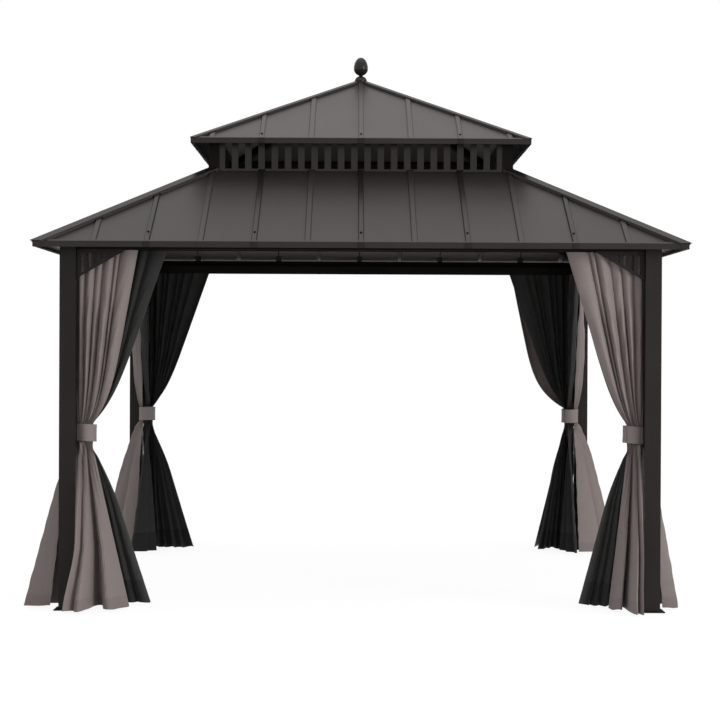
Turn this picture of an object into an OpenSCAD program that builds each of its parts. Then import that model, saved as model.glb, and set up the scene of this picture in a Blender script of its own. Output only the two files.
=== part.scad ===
// Square hardtop gazebo: four posts and a ring of beams carry a ribbed hip roof,
// a slotted vent storey and a small pyramid roof with a finial. Curtains and netting
// hang inside the beams and are gathered at each post by a tie-back.
// The front looks along -Y, +X is to the right and Z = 0 is the ground.

/* [Frame] */
// Width across the outer faces of the posts
post_span = 3404; // [3280:2:3460]
// Side of a square post
post_w = 91; // [76:1:100]
// Wall of a post tube
post_wall = 2.5; // [1.5:0.5:4]
// Height of the underside of the beams
clear_h = 2044; // [1940:2:2200]
// Width of a beam
beam_w = 60; // [50:1:68]
// Depth of a beam
beam_h = 92; // [80:1:110]
// Wall of a beam tube
beam_wall = 2; // [1.5:0.5:4]
// Side of a foot plate
foot_w = 140; // [132:1:170]
// Thickness of a foot plate
foot_t = 6; // [4:1:10]
// Radius of an anchor hole
anchor_r = 5.5; // [4:0.5:6.5]
// Distance between anchor holes along a side
anchor_pitch = 114; // [112:1:118]

/* [Corner brackets] */
// Reach of a bracket along the beam
bracket_reach = 272; // [240:2:320]
// Drop of a bracket along the post
bracket_drop = 160; // [130:2:190]
// Thickness of a bracket
bracket_t = 18; // [12:1:24]
// Width of a bracket's edge bars
bracket_bar = 22; // [16:1:26]
// Distance between bracket slots
bracket_pitch = 40; // [34:1:46]
// Width of a bracket slot
bracket_slot = 20; // [14:1:24]

/* [Lower roof] */
// Reach of the lower eaves past the outer faces of the posts
eave_over = 128; // [100:2:180]
// Slope of the lower roof in degrees
lower_slope = 28.4; // [25:0.1:31]
// Thickness of a roof sheet
sheet_t = 1.5; // [1:0.1:2.5]
// Distance between neighbouring ribs
rib_pitch = 300; // [280:2:320]
// Width of a pressed rib at its foot
rib_w = 38; // [30:1:44]
// Height of a pressed rib
rib_h = 9; // [7:0.5:20]
// Width of a seam strip
seam_w = 34; // [30:1:40]
// Height of a seam strip
seam_h = 10; // [8:0.5:22]
// Height of the seam clips at the outer edge of the beams
clip_h = 7; // [6:0.5:26]
// Width of a seam clip
clip_w = 36; // [24:1:50]
// Thickness of a seam clip
clip_t = 2; // [1.5:0.5:4]
// Distance of a seam clip from the edges of its beam
clip_inset = 4; // [2:0.5:8]
// Height of the eave trim below the sheet
trim_drop = 19; // [14:1:40]
// Thickness of the folded trims and caps
trim_t = 1.6; // [1:0.1:2.5]
// Width of the trim's top fold over the ribs
trim_fold = 14; // [8:1:34]
// Width of the trim's bottom fold
trim_return = 22; // [14:1:30]
// Width of a lower hip cap from the hip to its edge, in plan
cap_band = 62; // [50:1:76]
// Lift of the lower hip caps above the sheets
cap_lift = 20; // [16:0.5:32]
// Overhang of the lower hip caps past the eaves
cap_over = 16; // [6:1:24]
// Leg of the corner covers at the eaves
cover_leg = 46; // [36:1:54]

/* [Vent storey] */
// Width across the vent storey
vent_span = 1848; // [1760:2:1940]
// Rise from the foot of the vent storey to the upper eaves
vent_rise = 182; // [160:1:230]
// Width of a vent corner's legs
corner_leg = 66; // [56:1:76]
// Thickness of a vent corner
corner_t = 4; // [3:0.5:6]
// Reach of the vent sill past the vent storey
sill_over = 24; // [18:1:30]
// Thickness of a vent panel
panel_t = 4; // [3:0.5:6]
// Distance between vent slots
slot_pitch = 80.4; // [76:0.2:84]
// Width of a vent slot
slot_w = 41; // [34:1:46]
// Number of slots in a panel
slot_count = 21; // [17:2:21]
// Plain margin between the rib notches and the slots
slot_foot = 3; // [2:0.5:8]
// Plain margin over the slots
slot_head = 38; // [30:1:60]
// Side of the inner corner posts
stud_w = 30; // [24:1:36]
// Height of the ring angles under the roofs
ring_h = 38; // [30:1:46]
// Thickness of the ring angles
ring_t = 4; // [3:0.5:6]

/* [Upper roof] */
// Width across the upper eaves
upper_span = 2050; // [1980:2:2120]
// Slope of the upper roof in degrees
upper_slope = 25.9; // [23:0.1:28]
// Width of an upper hip cap from the hip to its edge, in plan
upper_band = 34; // [24:1:40]
// Lift of the upper hip caps above the sheets
upper_lift = 15; // [14:0.5:24]
// Overhang of the upper hip caps past the eaves
upper_cap_over = 4; // [2:0.5:10]
// Width of the hip rafters
rafter_w = 36; // [28:1:44]
// Depth of the hip rafters
rafter_h = 46; // [36:1:56]
// Wall of the hip rafters
rafter_wall = 2; // [1.5:0.5:3]
// Half width of the hub at the apex
hub_r = 42; // [38:1:48]
// Radius of the crown under the finial
crown_r = 36; // [34:1:39]
// Height of the crown above the apex of the sheets
crown_rise = 6; // [4:0.5:10]
// Reach of the finial's collar past the crown
collar_over = 4; // [2:0.5:6]
// Radius of the finial's acorn
finial_r = 47; // [40:1:56]
// Height of the finial above the crown
finial_h = 154; // [130:2:180]

/* [Curtains] */
// Width of a gathered curtain along its rail
curtain_w = 330; // [280:5:370]
// Width of a gathered net along its rail
net_w = 435; // [380:5:480]
// Depth of the gathered folds at a rail
drape_t = 34; // [24:1:38]
// Gap between the end of a curtain and its post
post_gap = 12; // [8:1:16]
// Width of one rail channel
rail_w = 20; // [18:0.5:24]
// Distance between the curtain channel and the net channel
rail_pitch = 44; // [42:1:50]
// Height of the rails
rail_h = 56; // [44:1:60]
// Wall of the rails
rail_wall = 3; // [2:0.5:4]
// Drop of the rails under the underside of the beams
rail_drop = 3; // [2:0.5:8]
// Height of the middle of a tie-back
tie_z = 1000; // [900:5:1150]
// Height of a tie-back band
tie_h = 100; // [80:2:120]
// Thickness of a tie-back band
tie_t = 3; // [2:0.5:5]
// Radius of one bundle inside a tie-back
bundle_r = 20; // [16:0.5:20.5]
// Distance of each bundle from the middle of its tie-back
bundle_off = 36; // [35:0.5:40]
// Distance from a post's inner corner to the middle of its tie-back, along X and Y
tie_off = 44; // [43:1:80]
// Height of the hems above the ground
hem_z = 12; // [12:1:60]
// Reach of a curtain's hem in front of its post's outer face
hem_out = 222; // [140:2:240]
// Width of a curtain's hem
hem_w = 280; // [220:2:290]
// Gap between a curtain's hem and the plane of its post's inner face
hem_gap = 28; // [20:1:36]
// Distance of a curtain's hem in front of the middle of its tie-back
hem_in = 14; // [10:1:20]
// Width of a net's hem
net_hem_w = 240; // [180:2:250]
// Depth of a net's hem
net_hem_d = 119; // [90:1:130]
// Distance from the middle of a tie-back to the start of a net's hem
net_hem_gap = 122; // [90:2:140]
// Gap between a curtain's hem and a net's hem
drape_gap = 10; // [6:1:16]

/* [Clearances] */
// Clearance where one piece seats on another
seat = 0.3; // [0.2:0.1:0.5]
// Gap between neighbouring roof sheets under the seam strips and hip caps
sheet_gap = 6; // [4:1:8]
// Clearance of notches around the ribs
notch = 1.5; // [1:0.5:3]

/* [Hidden] */
metal = [0.16, 0.15, 0.145];
sheet_metal = [0.31, 0.29, 0.275];
taupe = [0.49, 0.45, 0.44];
net_black = [0.07, 0.07, 0.07];

// Posts and beams, as distances from the middle of the gazebo
post_out = post_span / 2;
post_mid = post_out - post_w / 2;
post_in = post_out - post_w;
beam_out = post_mid + beam_w / 2;
beam_in = post_mid - beam_w / 2;
beam_top = clear_h + beam_h;

// Lower roof: its sheets lie on the clips over the outer edge of the beams
eave = post_out + eave_over;
sheet_drop = (sheet_t + seat) / cos(lower_slope);
eave_z = beam_top + clip_h + sheet_drop - (eave - beam_out) * tan(lower_slope);
function lower_z(y) = eave_z + (eave - y) * tan(lower_slope);
post_top = min(beam_top, lower_z(post_out) - sheet_drop - seat);

// Vent storey, from its outer corner angles inwards
vent = vent_span / 2;
panel_out = vent - corner_t - seat;
panel_in = panel_out - panel_t;
stud_out = panel_in - seat;
stud_in = stud_out - stud_w;
lower_end = stud_out + seat;
panel_foot = lower_z(lower_end) + seat;
sill_out = vent + sill_over;
sill_top = lower_z(sill_out) - sheet_drop;

// Upper roof
upper = upper_span / 2;
upper_drop = (sheet_t + seat) / cos(upper_slope);
upper_eave_z = lower_z(vent) + vent_rise;
function upper_z(y) = upper_eave_z + (upper - y) * tan(upper_slope);
header_top = upper_z(stud_out) - upper_drop;
header_foot = header_top - ring_h;
header_in = stud_out - ring_h;
panel_top = upper_z(panel_out) - upper_drop;
upper_end = crown_r * 0.6;
collar_r = crown_r + collar_over;
crown_top = upper_z(0) + crown_rise;

// A tier is the half span, the eave height, the slope and the inner end of its sheets
lower_tier = [eave, eave_z, lower_slope, lower_end];
upper_tier = [upper, upper_eave_z, upper_slope, upper_end];
function seam_last(tier) = 2 * floor((tier[0] - hip_room) / (2 * rib_pitch));
function rib_fits(tier, i) = abs(i) * rib_pitch + rib_w < tier[0] - cap_band;

// Heights of the room around the ribs and of the trim's top fold over the sheets,
// and the least distance from an eave's corner to a seam
room_h = max(rib_h, seam_h) + notch;
trim_top = max(rib_h, seam_h) + seat + trim_t;
hip_room = 100;

// Reach of the cutting shapes: past the whole roof, and past one sheet
far = 6000;
margin = 300;

// Curtains and nets hang under the two channels of the rails
rail_out = beam_in - seat;
rail_in = rail_out - rail_pitch - rail_w;
rail_foot = clear_h - rail_drop;
drape_top = rail_foot - seat;
curtain_line = rail_out - rail_w / 2;
net_line = curtain_line - rail_pitch;
tie_mid = post_in - tie_off;
tie_r = bundle_off + bundle_r + seat;

// Turn a piece of the front round to the right, rear or left side
module side(k) {
  rotate([0, 0, 90 * k])
    children();
}

// Move a piece of the front left corner to another corner
module corner(sx, sy) {
  mirror([sx > 0 ? 1 : 0, 0, 0])
    mirror([0, sy > 0 ? 1 : 0, 0])
      children();
}

// Draw a piece of the front left corner's front side on its left side too
module both_sides() {
  children();
  mirror([1, -1, 0])
    children();
}

module all_corners() {
  for (sx = [-1, 1], sy = [-1, 1])
    corner(sx, sy)
      children();
}

// Extrude a Y-Z profile along X, centred
module along_x(length) {
  translate([-length / 2, 0, 0])
    rotate([90, 0, 90])
      linear_extrude(length)
        children();
}

// Square tube with open ends, standing on Z = 0
module square_tube(w, wall, h) {
  linear_extrude(h)
    difference() {
      square(w, center = true);
      square(w - 2 * wall, center = true);
    }
}

// Square ring between two half widths
module square_ring(outer, inner, z0, z1) {
  translate([0, 0, z0])
    linear_extrude(z1 - z0)
      difference() {
        square(2 * outer, center = true);
        square(2 * inner, center = true);
      }
}

// Plan of the front slope between two distances, cut along both hips
module front_plan(y_out, y_in, inset) {
  linear_extrude(far)
    polygon([
      [-(y_out - inset), -y_out],
      [y_out - inset, -y_out],
      [y_in - inset, -y_in],
      [-(y_in - inset), -y_in]
    ]);
}

// Frame of a tier's front slope: X along the eave, Y up the slope, Z off the sheet
module on_slope(tier) {
  translate([0, -tier[0], tier[1]])
    rotate([tier[2], 0, 0])
      children();
}

function slope_length(tier) = (tier[0] - tier[3]) / cos(tier[2]) + 2 * margin;

// Extrude an X-Z section up a tier's front slope
module up_slope(tier) {
  on_slope(tier)
    translate([0, slope_length(tier) - margin, 0])
      rotate([90, 0, 0])
        linear_extrude(slope_length(tier))
          children();
}

// Hat section standing on the sheet, open below
module hat(x, w, h, wall, z0) {
  top = w * 0.34;
  polygon([
    [x - w / 2, z0], [x - top, h], [x + top, h], [x + w / 2, z0],
    [x + w / 2 - 1.2 * wall, z0], [x + top - 0.6 * wall, h - wall],
    [x - top + 0.6 * wall, h - wall], [x - w / 2 + 1.2 * wall, z0]
  ]);
}

// Room around a rib or seam on a tier's front slope
module rib_room(tier, i) {
  width = max(rib_w, seam_w) + 2 * notch;
  up_slope(tier)
    translate([i * rib_pitch - width / 2, 0])
      square([width, room_h]);
}

module rib_rooms(tier) {
  last = seam_last(tier) + 1;
  for (i = [-last : last])
    rib_room(tier, i);
}

// Posts and beams
module post(sx, sy) {
  color(metal)
    translate([sx * post_mid, sy * post_mid, foot_t + seat])
      square_tube(post_w, post_wall, post_top - foot_t - seat);
}

module foot_plates() {
  color(metal)
    for (sx = [-1, 1], sy = [-1, 1])
      translate([sx * post_mid, sy * post_mid, 0])
        difference() {
          translate([-foot_w / 2, -foot_w / 2, 0])
            cube([foot_w, foot_w, foot_t]);
          for (hx = [-1, 1], hy = [-1, 1])
            translate([hx * anchor_pitch / 2, hy * anchor_pitch / 2, -1])
              cylinder(r = anchor_r, h = foot_t + 2, $fn = 32);
        }
}

module beam(k) {
  color(metal)
    side(k)
      along_x(2 * (post_in - seat))
        translate([-post_mid, clear_h + beam_h / 2])
          difference() {
            square([beam_w, beam_h], center = true);
            square([beam_w - 2 * beam_wall, beam_h - 2 * beam_wall], center = true);
          }
}

// Double rail: two channels open below under one web, mitred against its neighbours
module curtain_rails() {
  end = post_in - seat;
  hollow_h = rail_h - rail_wall + 1;
  color(metal)
    for (k = [0 : 3])
      side(k)
        intersection() {
          along_x(2 * end)
            translate([0, rail_foot])
              difference() {
                translate([-rail_out, 0])
                  square([rail_out - rail_in, rail_h]);
                for (line = [curtain_line, net_line])
                  translate([-line - rail_w / 2 + rail_wall, -1])
                    square([rail_w - 2 * rail_wall, hollow_h]);
                translate([-curtain_line + rail_w / 2, -1])
                  square([rail_pitch - rail_w, hollow_h]);
              }
          front_plan(rail_out + 1, rail_in - 1, seat);
        }
}

// Slatted triangle in the corner of a post and a beam
module bracket_panel() {
  inner_reach = bracket_reach - 2 * bracket_bar * bracket_reach / bracket_drop;
  inner_drop = bracket_drop - 2.1 * bracket_bar;
  translate([-post_in + seat, -post_mid + bracket_t / 2, clear_h - seat])
    rotate([90, 0, 0])
      linear_extrude(bracket_t)
        difference() {
          polygon([
            [0, 0], [bracket_reach, 0], [bracket_reach, -bracket_bar * 0.3],
            [bracket_bar * 0.3, -bracket_drop], [0, -bracket_drop]
          ]);
          intersection() {
            translate([bracket_bar, -bracket_bar])
              polygon([[0, 0], [inner_reach, 0], [0, -inner_drop]]);
            for (i = [0 : floor(inner_reach / bracket_pitch) - 1])
              translate([bracket_bar + i * bracket_pitch, -bracket_drop])
                square([bracket_slot, bracket_drop]);
          }
        }
}

module bracket(sx, sy) {
  color(metal)
    corner(sx, sy)
      both_sides()
        bracket_panel();
}

// Folded clips that carry the seams of the lower sheets on the beams
module roof_clips() {
  foot = beam_top + seat;
  y0 = beam_out - clip_inset;
  y1 = beam_in + clip_inset;
  last = seam_last(lower_tier);
  color(metal)
    for (k = [0 : 3])
      side(k)
        for (i = [-last : 2 : last])
          translate([i * rib_pitch, 0, 0])
            along_x(clip_w)
              difference() {
                polygon([
                  [-y0, foot], [-y1, foot],
                  [-y1, lower_z(y1) - sheet_drop], [-y0, lower_z(y0) - sheet_drop]
                ]);
                polygon([
                  [-y0 + clip_t, foot + clip_t], [-y1 - clip_t, foot + clip_t],
                  [-y1 - clip_t, lower_z(y1 + clip_t) - sheet_drop - clip_t],
                  [-y0 + clip_t, lower_z(y0 - clip_t) - sheet_drop - clip_t]
                ]);
              }
}

// Lower roof: one panel between two seams, with a pressed rib and upturned edges
module panel_section(x0, x1, x_rib, edge0, edge1) {
  flange = seam_h - 8;
  difference() {
    union() {
      translate([x0, -sheet_t])
        square([x1 - x0, sheet_t]);
      if (edge0)
        translate([x0, -sheet_t])
          square([sheet_t, flange]);
      if (edge1)
        translate([x1 - sheet_t, -sheet_t])
          square([sheet_t, flange]);
    }
    if (abs(x_rib) < far)
      translate([x_rib - rib_w / 2 + 1.2 * sheet_t, -2 * sheet_t])
        square([rib_w - 2.4 * sheet_t, 4 * sheet_t]);
  }
  if (abs(x_rib) < far)
    hat(x_rib, rib_w, rib_h, sheet_t, -sheet_t);
}

module lower_roof(k) {
  tier = lower_tier;
  last = seam_last(tier);
  color(sheet_metal)
    side(k)
      intersection() {
        union() {
          for (i = [-last : 2 : last - 2])
            up_slope(tier)
              panel_section(
                i * rib_pitch + sheet_gap / 2, (i + 2) * rib_pitch - sheet_gap / 2,
                (i + 1) * rib_pitch, true, true
              );
          for (s = [-1, 1])
            mirror([s < 0 ? 1 : 0, 0, 0])
              up_slope(tier)
                panel_section(
                  last * rib_pitch + sheet_gap / 2, eave + margin,
                  rib_fits(tier, last + 1) ? (last + 1) * rib_pitch : 2 * far, true, false
                );
        }
        front_plan(eave - trim_t - seat, lower_end, sheet_gap / 2);
      }
}

module lower_seams() {
  tier = lower_tier;
  last = seam_last(tier);
  color(metal)
    for (k = [0 : 3])
      side(k)
        intersection() {
          union()
            for (i = [-last : 2 : last])
              up_slope(tier)
                hat(i * rib_pitch, seam_w, seam_h, trim_t, seat);
          front_plan(eave - trim_t - seat, lower_end, sheet_gap / 2);
        }
}

// Half of a hip cap on the front slope, at the right hip: a slab and a lip with notches
module hip_half(tier, y_out, y_in, band, lift, lip_z) {
  intersection() {
    up_slope(tier)
      translate([-far / 2, lift])
        square([far, trim_t]);
    linear_extrude(far)
      polygon([[y_out, -y_out], [y_in, -y_in], [y_in - band, -y_in], [y_out - band, -y_out]]);
  }
  if (lip_z < lift)
    difference() {
      intersection() {
        up_slope(tier)
          translate([-far / 2, lip_z])
            square([far, lift + trim_t - lip_z]);
        linear_extrude(far)
          polygon([
            [y_out - band + 1.5 * trim_t, -y_out], [y_in - band + 1.5 * trim_t, -y_in],
            [y_in - band, -y_in], [y_out - band, -y_out]
          ]);
      }
      rib_rooms(tier);
      trim_room(tier);
    }
}

module hip_cap(tier, y_out, y_in, band, lift, lip_z) {
  hip_half(tier, y_out, y_in, band, lift, lip_z);
  mirror([1, 1, 0])
    hip_half(tier, y_out, y_in, band, lift, lip_z);
}

module lower_hip_caps() {
  color(metal)
    for (k = [0 : 3])
      side(k)
        hip_cap(lower_tier, eave + cap_over, vent + seat, cap_band, cap_lift, trim_t + 2 * seat);
}

// Folded trim along an eave: a face with a top fold over the rib ends and a bottom fold
module eave_trim(tier) {
  slope = tier[2];
  y = tier[0];
  foot = tier[1] - trim_drop;
  top = tier[1] + trim_top / cos(slope);
  thick = trim_t / cos(slope);
  intersection() {
    along_x(2 * y)
      polygon([
        [-y, foot], [-y, top],
        [-y + trim_fold, top + trim_fold * tan(slope)],
        [-y + trim_fold, top + trim_fold * tan(slope) - thick],
        [-y + trim_t, top + trim_t * tan(slope) - thick],
        [-y + trim_t, foot + trim_t],
        [-y + trim_return, foot + trim_t],
        [-y + trim_return, foot]
      ]);
    front_plan(y + 1, y - margin, 1 + seat);
  }
}

// Room around the trim of a tier's front eave
module trim_room(tier) {
  run = trim_fold / cos(tier[2]) + trim_top * tan(tier[2]) + notch;
  on_slope(tier)
    translate([-far / 2, -margin, -margin])
      cube([far, margin + run, margin + trim_top + notch]);
}

// Folded covers over the corners of the lower trim, under the ends of the hip caps
module corner_covers() {
  out = eave + seat + 2 * trim_t;
  in = eave + seat;
  z0 = eave_z - trim_drop;
  color(metal)
    all_corners()
      translate([0, 0, z0])
        linear_extrude(trim_drop + cap_lift - 6)
          difference() {
            translate([-out, -out])
              square(cover_leg);
            translate([-in, -in])
              square(cover_leg);
          }
}

module lower_eave_trim() {
  color(metal)
    for (k = [0 : 3])
      side(k)
        eave_trim(lower_tier);
  corner_covers();
}

// Tube along the front left hip of a tier, under its sheets
module hip_tube(tier, drop) {
  fall = drop + rafter_w / 2 * tan(tier[2]) / sqrt(2);
  hip_angle = atan(tan(tier[2]) / sqrt(2));
  height = rafter_h / cos(hip_angle);
  length = tier[0] * sqrt(2);
  rotate([0, 0, 45])
    translate([-length, 0, tier[1] - fall])
      rotate([90, 0, 0])
        translate([0, 0, -rafter_w / 2])
          difference() {
            linear_extrude(rafter_w)
              polygon([
                [0, 0], [length, tier[0] * tan(tier[2])],
                [length, tier[0] * tan(tier[2]) - height], [0, -height]
              ]);
            translate([0, 0, rafter_wall])
              linear_extrude(rafter_w - 2 * rafter_wall)
                polygon([
                  [-1, -rafter_wall - tan(hip_angle)],
                  [length + 1, tier[0] * tan(tier[2]) - rafter_wall + tan(hip_angle)],
                  [length + 1, tier[0] * tan(tier[2]) - height + rafter_wall + tan(hip_angle)],
                  [-1, -height + rafter_wall - tan(hip_angle)]
                ]);
          }
}

// The rafters run from the posts' inner corners to the corners of the vent sill
module lower_hip_rafters() {
  color(metal)
    all_corners()
      difference() {
        intersection() {
          hip_tube(lower_tier, sheet_drop);
          translate([-beam_in + seat, -beam_in + seat, 0])
            cube([beam_in, beam_in, far]);
        }
        translate([-post_out, -post_out, 0])
          cube([post_w + seat, post_w + seat, far]);
        translate([-sill_out - seat, -sill_out - seat, 0])
          cube([far, far, far]);
      }
}

// Vent storey: an angle ring, inner studs, corner angles, slotted panels, a second ring
module angle_ring(outer, inner, top) {
  difference() {
    square_ring(outer, inner, top - ring_h, top);
    square_ring(outer - ring_t, inner - 1, top - ring_h - 1, top - ring_t);
  }
}

module vent_sill() {
  color(metal)
    angle_ring(sill_out, stud_in - ring_t, sill_top);
}

module vent_studs() {
  color(metal)
    for (sx = [-1, 1], sy = [-1, 1])
      translate([sx * (stud_out + stud_in) / 2, sy * (stud_out + stud_in) / 2, sill_top + seat])
        square_tube(stud_w, rafter_wall, header_foot - sill_top - 2 * seat);
}

module vent_header() {
  color(metal)
    angle_ring(stud_out, header_in, header_top);
}

module vent_corners() {
  vent_studs();
  color(metal)
    difference() {
      all_corners()
        translate([-vent, -vent, panel_foot])
          linear_extrude(upper_z(vent) - upper_drop - panel_foot)
            difference() {
              square(corner_leg);
              translate([corner_t, corner_t])
                square(corner_leg);
            }
      for (k = [0 : 3])
        side(k)
          rib_rooms(lower_tier);
    }
}

module vent_panel(k) {
  width = 2 * (panel_in - seat);
  slot_z = lower_z(panel_out) + room_h / cos(lower_slope) + slot_foot;
  slot_h = panel_top - slot_head - slot_z;
  color(metal)
    side(k)
      difference() {
        translate([-width / 2, -panel_out, panel_foot])
          cube([width, panel_t, panel_top - panel_foot]);
        for (i = [0 : slot_count - 1])
          translate([(i - (slot_count - 1) / 2) * slot_pitch - slot_w / 2, -vent, slot_z])
            cube([slot_w, 2 * corner_leg, slot_h]);
        rib_rooms(lower_tier);
      }
}

// Upper roof: flat sheets, hat strips on them, low hip caps, trim and rafters
module upper_roof() {
  tier = upper_tier;
  color(sheet_metal)
    for (k = [0 : 3])
      side(k)
        intersection() {
          up_slope(tier)
            translate([-far / 2, -sheet_t])
              square([far, sheet_t]);
          front_plan(upper - trim_t - seat, upper_end, sheet_gap / 2);
        }
}

module upper_ribs() {
  tier = upper_tier;
  last = seam_last(tier);
  color(sheet_metal)
    for (k = [0 : 3])
      side(k)
        intersection() {
          union()
            for (i = [-last - 1 : last + 1])
              if (i % 2 == 0 || rib_fits(tier, i))
                up_slope(tier)
                  hat(i * rib_pitch, i % 2 == 0 ? seam_w : rib_w, rib_h, trim_t, seat);
          front_plan(upper - trim_t - seat, crown_r + 2 * notch, sheet_gap / 2);
        }
}

module upper_hip_caps() {
  color(metal)
    for (k = [0 : 3])
      side(k)
        hip_cap(upper_tier, upper + upper_cap_over, collar_r, upper_band, upper_lift, trim_t + 2 * seat);
}

module upper_eave_trim() {
  color(metal)
    for (k = [0 : 3])
      side(k)
        eave_trim(upper_tier);
}

module upper_hip_rafters() {
  apex_hub();
  color(metal)
    all_corners()
      difference() {
        intersection() {
          hip_tube(upper_tier, upper_drop);
          translate([-header_in + seat, -header_in + seat, 0])
            cube([header_in, header_in, far]);
        }
        rotate([0, 0, 45])
          translate([-hub_r - seat, -far / 2, 0])
            cube([far, far, far]);
      }
}

// Block that the upper rafters meet, square to the hips
module apex_hub() {
  top = upper_z(hub_r * sqrt(2)) - upper_drop;
  color(metal)
    translate([0, 0, top - rafter_h])
      rotate([0, 0, 45])
        translate([-hub_r, -hub_r, 0])
          cube([2 * hub_r, 2 * hub_r, rafter_h]);
}

// Round crown cut to sit on the four slopes
module crown() {
  foot = upper_z(crown_r) - 1;
  color(metal)
    difference() {
      translate([0, 0, foot])
        cylinder(r = crown_r, h = crown_top - foot, $fn = 48);
      intersection_for (k = [0 : 3])
        side(k)
          on_slope([upper, upper_eave_z + seat, upper_slope])
            translate([-far / 2, -margin, -far])
              cube([far, far, far]);
    }
}

// Turned finial: a bun on the crown, a thin neck and an egg with its thick end below
module finial() {
  neck_r = collar_r * 0.24;
  bun_z = finial_h * 0.19;
  egg_foot = finial_h * 0.22;
  egg_mid = finial_h * 0.52;
  crown();
  color(metal)
    translate([0, 0, crown_top + seat])
      rotate_extrude($fn = 48)
        polygon(concat(
          [[0, 0], [collar_r, 0], [collar_r, bun_z * 0.15]],
          [for (a = [10 : 20 : 70])
            [mix(neck_r, collar_r * 0.96, cos(a)), mix(bun_z * 0.15, bun_z, sin(a))]],
          [[neck_r, bun_z]],
          [for (a = [-70 : 20 : 70])
            [finial_r * cos(a), egg_mid + (a > 0 ? finial_h - egg_mid : egg_mid - egg_foot) * sin(a)]],
          [[0, finial_h]]
        ));
}

// Drapes: a loft of rounded rings [z, x0, x1, y0, y1]
function mix(a, b, t) = a + (b - a) * t;

function ring_points(r, sides) = [
  for (i = [0 : sides - 1])
    let (c = cos(360 * (i + 0.5) / sides), s = sin(360 * (i + 0.5) / sides))
    [
      mix(r[1], r[2], 0.5 + 0.5 * sign(c) * pow(abs(c), 0.85)),
      mix(r[3], r[4], 0.5 + 0.5 * sign(s) * pow(abs(s), 0.85)),
      r[0]
    ]
];

module loft(rings, sides) {
  last = (len(rings) - 1) * sides;
  polyhedron(
    points = [for (r = rings) each ring_points(r, sides)],
    faces = concat(
      [[for (i = [0 : sides - 1]) i]],
      [[for (i = [sides - 1 : -1 : 0]) last + i]],
      [for (j = [0 : len(rings) - 2], i = [0 : sides - 1])
        let (a = j * sides + i, b = j * sides + (i + 1) % sides)
        each [[a, a + sides, b + sides], [a, b + sides, b]]]
    )
  );
}

// A drape hangs from its rail, gathers into its bundle and spreads to its hem.
// Each rectangle is [x0, x1, y0, y1]; late is the share of the gathering just above the tie.
function gather(t, late) = (1 - late) * t + late * pow(t, 8);

function drape_rings(rail, tied, hem, late, fall) = concat(
  [for (s = [1, 0.75, 0.5, 0.25])
    concat(mix(tie_z - tie_h / 2, hem_z, s), [for (j = [0 : 3]) mix(tied[j], hem[j], s)])],
  [concat(tie_z - tie_h / 2, tied)],
  [for (t = [1, 0.94, 0.86, 0.72, 0.5, 0.25, 0])
    let (mid = mix((rail[2] + rail[3]) / 2, (tied[2] + tied[3]) / 2, pow(t, fall)))
    let (half = mix(rail[3] - rail[2], tied[3] - tied[2], pow(t, 8)) / 2)
    [
      mix(drape_top, tie_z + tie_h / 2, t),
      mix(rail[0], tied[0], gather(t, late)), mix(rail[1], tied[1], gather(t, late)),
      mid - half, mid + half
    ]]
);

module curtain() {
  start = post_in - seat - post_gap;
  mid = [-tie_mid, -tie_mid - bundle_off];
  hem_start = post_in - hem_gap;
  loft(drape_rings(
    [-start, -start + curtain_w, -curtain_line - drape_t / 2, -curtain_line + drape_t / 2],
    [mid[0] - bundle_r, mid[0] + bundle_r, mid[1] - bundle_r, mid[1] + bundle_r],
    [-hem_start, -hem_start + hem_w, -post_out - hem_out, -tie_mid - hem_in],
    0.42, 4
  ), 12);
}

module net() {
  start = net_line - drape_t / 2 - rail_w / 2;
  mid = [-tie_mid + bundle_off, -tie_mid];
  hem_start = tie_mid - net_hem_gap;
  hem_front = tie_mid + hem_in - drape_gap;
  loft(drape_rings(
    [-start, -start + net_w, -net_line - drape_t / 2, -net_line + drape_t / 2],
    [mid[0] - bundle_r, mid[0] + bundle_r, mid[1] - bundle_r, mid[1] + bundle_r],
    [-hem_start, -hem_start + net_hem_w, -hem_front, -hem_front + net_hem_d],
    0.2, 0.8
  ), 12);
}

module curtains(sx, sy) {
  color(taupe)
    corner(sx, sy)
      both_sides()
        curtain();
}

module nets(sx, sy) {
  color(net_black)
    corner(sx, sy)
      both_sides()
        net();
}

module tie_backs() {
  color(taupe)
    for (sx = [-1, 1], sy = [-1, 1])
      translate([sx * tie_mid, sy * tie_mid, tie_z - tie_h / 2])
        difference() {
          cylinder(r = tie_r + tie_t, h = tie_h, $fn = 48);
          translate([0, 0, -1])
            cylinder(r = tie_r, h = tie_h + 2, $fn = 48);
        }
}

post(-1, -1);  // post_fl
post(1, -1);  // post_fr
post(-1, 1);  // post_rl
post(1, 1);  // post_rr
foot_plates();
beam(0);  // beam_front
beam(1);  // beam_right
beam(2);  // beam_rear
beam(3);  // beam_left
curtain_rails();
bracket(-1, -1);  // bracket_fl
bracket(1, -1);  // bracket_fr
bracket(-1, 1);  // bracket_rl
bracket(1, 1);  // bracket_rr
roof_clips();
lower_roof(0);  // lower_roof_front
lower_roof(1);  // lower_roof_right
lower_roof(2);  // lower_roof_rear
lower_roof(3);  // lower_roof_left
lower_seams();
lower_hip_caps();
lower_eave_trim();
lower_hip_rafters();
vent_sill();
vent_corners();
vent_header();
vent_panel(0);  // vent_panel_front
vent_panel(1);  // vent_panel_right
vent_panel(2);  // vent_panel_rear
vent_panel(3);  // vent_panel_left
upper_roof();
upper_ribs();
upper_hip_caps();
upper_eave_trim();
upper_hip_rafters();
finial();
curtains(-1, -1);  // curtains_fl
curtains(1, -1);  // curtains_fr
curtains(-1, 1);  // curtains_rl
curtains(1, 1);  // curtains_rr
nets(-1, -1);  // nets_fl
nets(1, -1);  // nets_fr
nets(-1, 1);  // nets_rl
nets(1, 1);  // nets_rr
tie_backs();
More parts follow.
